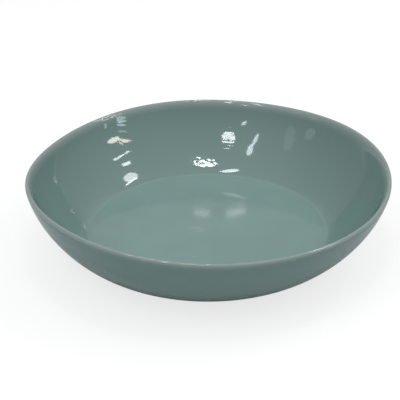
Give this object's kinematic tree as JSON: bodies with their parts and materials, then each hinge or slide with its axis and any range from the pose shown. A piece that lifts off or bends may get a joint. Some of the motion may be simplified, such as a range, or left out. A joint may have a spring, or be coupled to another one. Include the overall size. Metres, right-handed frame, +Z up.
{
  "type": "serving bowl",
  "caption": "Low, wide hand-formed serving bowl with a softly uneven rounded lip, a flat floor that creases into a curved wall, and a low foot ring under it.",
  "frame": {"origin": "middle of the face that the foot ring stands on", "axes": "+Z up out of the bowl, +X to the right in the picture, +Y away from its camera"},
  "size_m": [0.299, 0.2999, 0.0733],
  "materials": {
    "stoneware": "matte",
    "slip": "matte",
    "glaze": "gloss"
  },
  "bodies": {
    "root": {"clay_body": "stoneware", "foot_ring": "stoneware", "foot_slip": "slip", "inside_glaze": "glaze", "outside_glaze": "glaze", "base_glaze": "glaze"}
  },
  "joints": []
}
